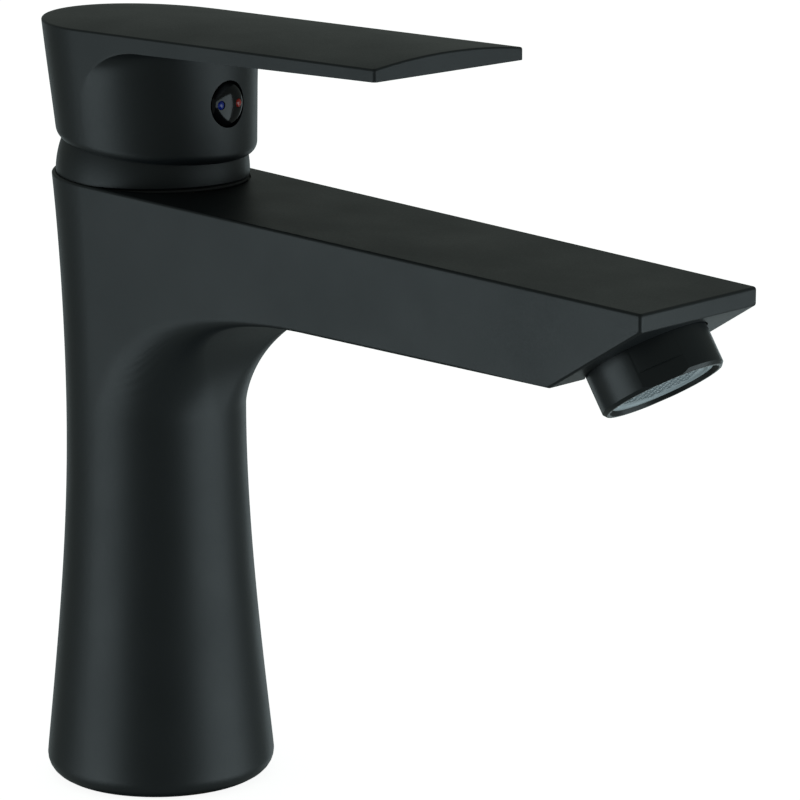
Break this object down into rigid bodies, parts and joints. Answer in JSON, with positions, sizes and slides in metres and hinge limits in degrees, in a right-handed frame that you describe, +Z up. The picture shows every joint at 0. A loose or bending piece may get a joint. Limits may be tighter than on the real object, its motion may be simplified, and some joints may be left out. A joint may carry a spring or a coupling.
{
  "type": "washbasin mixer tap",
  "caption": "Single-lever washbasin mixer with a waisted round pillar, a flat tapering spout, a paddle lever over a domed collar, a tilted aerator and a fixing kit under the deck.",
  "frame": {"origin": "centre of the round base on the deck plane", "axes": "+Z up out of the deck, -Y towards the user and along the spout and lever, +X to the user's right"},
  "size_m": [0.05, 0.1731, 0.2201],
  "materials": {
    "matt_black_coat": "fine matt powder coat",
    "gloss_black": "polished dome",
    "black_rubber": "moulded",
    "brass": "machined",
    "steel": "zinc plated",
    "cartridge_white": "moulded",
    "cartridge_blue": "moulded",
    "ceramic": "lapped alumina",
    "grey_plastic": "moulded",
    "cold_blue": "enamel",
    "hot_red": "enamel"
  },
  "bodies": {
    "body": {"faucet_body": "matt_black_coat", "dome_collar": "matt_black_coat", "collar_o_ring": "black_rubber", "base_gasket": "black_rubber", "cartridge_nut": "brass", "cartridge_housing": "cartridge_white", "cartridge_base": "cartridge_white", "port_seal_hot": "black_rubber", "port_seal_cold": "black_rubber", "port_seal_outlet": "black_rubber", "lower_ceramic_disc": "ceramic", "aerator_shroud": "matt_black_coat", "aerator_washer": "black_rubber", "aerator_screen": "steel", "aerator_insert": "grey_plastic", "mounting_stud": "brass", "clamp_rubber": "black_rubber", "clamp_washer": "steel", "clamp_nut": "brass"},
    "turret": {"cartridge_turret": "cartridge_blue", "stem_pivot_pin": "steel"},
    "lever": {"lever_handle": "matt_black_coat", "cartridge_stem": "steel", "handle_grub_screw": "steel", "index_button": "gloss_black", "cold_dot": "cold_blue", "hot_dot": "hot_red"},
    "disc": {"disc_carrier": "cartridge_blue", "upper_ceramic_disc": "ceramic"}
  },
  "joints": [
    {"name": "temperature_turn", "type": "hinge", "parent": "body", "child": "turret", "pos_m": [0, 0, 0.134], "axis": [0, 0, 1], "range_deg": [-50, 50]},
    {"name": "flow_lift", "type": "hinge", "parent": "turret", "child": "lever", "pos_m": [0, 0, 0.134], "axis": [-1, 0, 0], "range_deg": [0, 18]},
    {"name": "disc_slide", "type": "slide", "parent": "turret", "child": "disc", "axis": [0, -1, 0], "range_m": [0, 0.0043]}
  ],
  "couplings": [
    {"joint": "disc_slide", "follows": "flow_lift", "m_per_rad": 0.0135}
  ]
}
